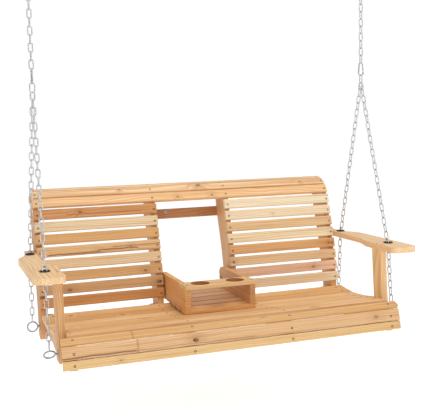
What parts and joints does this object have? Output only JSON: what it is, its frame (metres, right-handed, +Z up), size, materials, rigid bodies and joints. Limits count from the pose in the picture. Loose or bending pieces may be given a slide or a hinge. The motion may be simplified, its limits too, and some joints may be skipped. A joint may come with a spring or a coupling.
{
  "type": "porch swing",
  "caption": "Wooden slatted porch swing with rolled back and armrests, hung on chains from ceiling plates, with a fold-down cup console in the middle of the seat.",
  "frame": {"origin": "on the ceiling plane, midway between the two ceiling plates, at mount hanging_line", "axes": "+X to the sitter's left (viewer's right seen from the front), +Y from front to back, +Z up"},
  "size_m": [1.677, 0.7931, 1.633],
  "materials": {
    "back_slats": "sanded and clear sealed softwood, knots showing",
    "seat_slats": "sanded and clear sealed softwood",
    "frame_lumber": "sanded softwood",
    "armrest_wood": "sanded softwood, rounded edges",
    "console_wood": "sanded softwood",
    "chain": "zinc plated",
    "snap_hook": "zinc plated, bright",
    "fittings": "zinc plated",
    "grommet": "moulded black plastic"
  },
  "bodies": {
    "ceiling": {"ceiling_hook_left": "fittings", "ceiling_hook_right": "fittings"},
    "hanger": {"upper_chain_left": "chain", "upper_chain_right": "chain", "carabiner_left": "snap_hook", "carabiner_right": "snap_hook"},
    "bench": {"armrest_left": "armrest_wood", "armrest_right": "armrest_wood", "chain_grommet_front_left": "grommet", "chain_grommet_front_right": "grommet", "chain_grommet_rear_left": "grommet", "chain_grommet_rear_right": "grommet", "front_post_left": "frame_lumber", "front_post_right": "frame_lumber", "eye_bolt_front_left": "fittings", "eye_bolt_front_right": "fittings", "eye_bolt_rear_left": "fittings", "eye_bolt_rear_right": "fittings", "bench_chain_left": "chain", "bench_chain_right": "chain", "end_rib_left": "frame_lumber", "end_rib_right": "frame_lumber", "middle_rib_left": "frame_lumber", "middle_rib_right": "frame_lumber", "end_seat_support_left": "frame_lumber", "end_seat_support_right": "frame_lumber", "middle_seat_support_left": "frame_lumber", "middle_seat_support_right": "frame_lumber", "rear_rail": "frame_lumber", "back_slat_left_1": "back_slats", "back_slat_left_2": "back_slats", "back_slat_left_3": "back_slats", "back_slat_left_4": "back_slats", "back_slat_left_5": "back_slats", "back_slat_left_6": "back_slats", "back_slat_left_7": "back_slats", "back_slat_left_8": "back_slats", "back_slat_right_1": "back_slats", "back_slat_right_2": "back_slats", "back_slat_right_3": "back_slats", "back_slat_right_4": "back_slats", "back_slat_right_5": "back_slats", "back_slat_right_6": "back_slats", "back_slat_right_7": "back_slats", "back_slat_right_8": "back_slats", "top_roll_slat_1": "back_slats", "top_roll_slat_2": "back_slats", "top_roll_slat_3": "back_slats", "nose_slat": "seat_slats", "front_slat_upper": "seat_slats", "front_slat_lower": "seat_slats", "seat_deck": "seat_slats", "console_pivot_bolt_left": "fittings", "console_pivot_bolt_right": "fittings"},
    "console": {"console_floor": "console_wood", "cup_board": "console_wood", "console_side_left": "console_wood", "console_side_right": "console_wood"},
    "gate_left": {"carabiner_gate_left": "snap_hook"},
    "gate_right": {"carabiner_gate_right": "snap_hook"}
  },
  "joints": [
    {"name": "swing", "type": "hinge", "parent": "ceiling", "child": "hanger", "pos_m": [0, 0, -0.042], "axis": [1, 0, 0], "range_deg": [-25, 25]},
    {"name": "bench_pitch", "type": "hinge", "parent": "hanger", "child": "bench", "pos_m": [0, 0, -0.4875], "axis": [0.9997, 0, 0.0229], "range_deg": [-10, 10]},
    {"name": "console_fold", "type": "hinge", "parent": "bench", "child": "console", "pos_m": [0, 0.2703, -1.43], "axis": [-1, 0, 0], "range_deg": [0, 103]},
    {"name": "gate_left_open", "type": "hinge", "parent": "hanger", "child": "gate_left", "pos_m": [-0.764, 0.012, -0.4878], "axis": [1, 0, 0], "range_deg": [0, 25], "stiffness_Nm_per_rad": 0.05},
    {"name": "gate_right_open", "type": "hinge", "parent": "hanger", "child": "gate_right", "pos_m": [0.776, 0, -0.4528], "axis": [0, -1, 0], "range_deg": [0, 25], "stiffness_Nm_per_rad": 0.05}
  ]
}
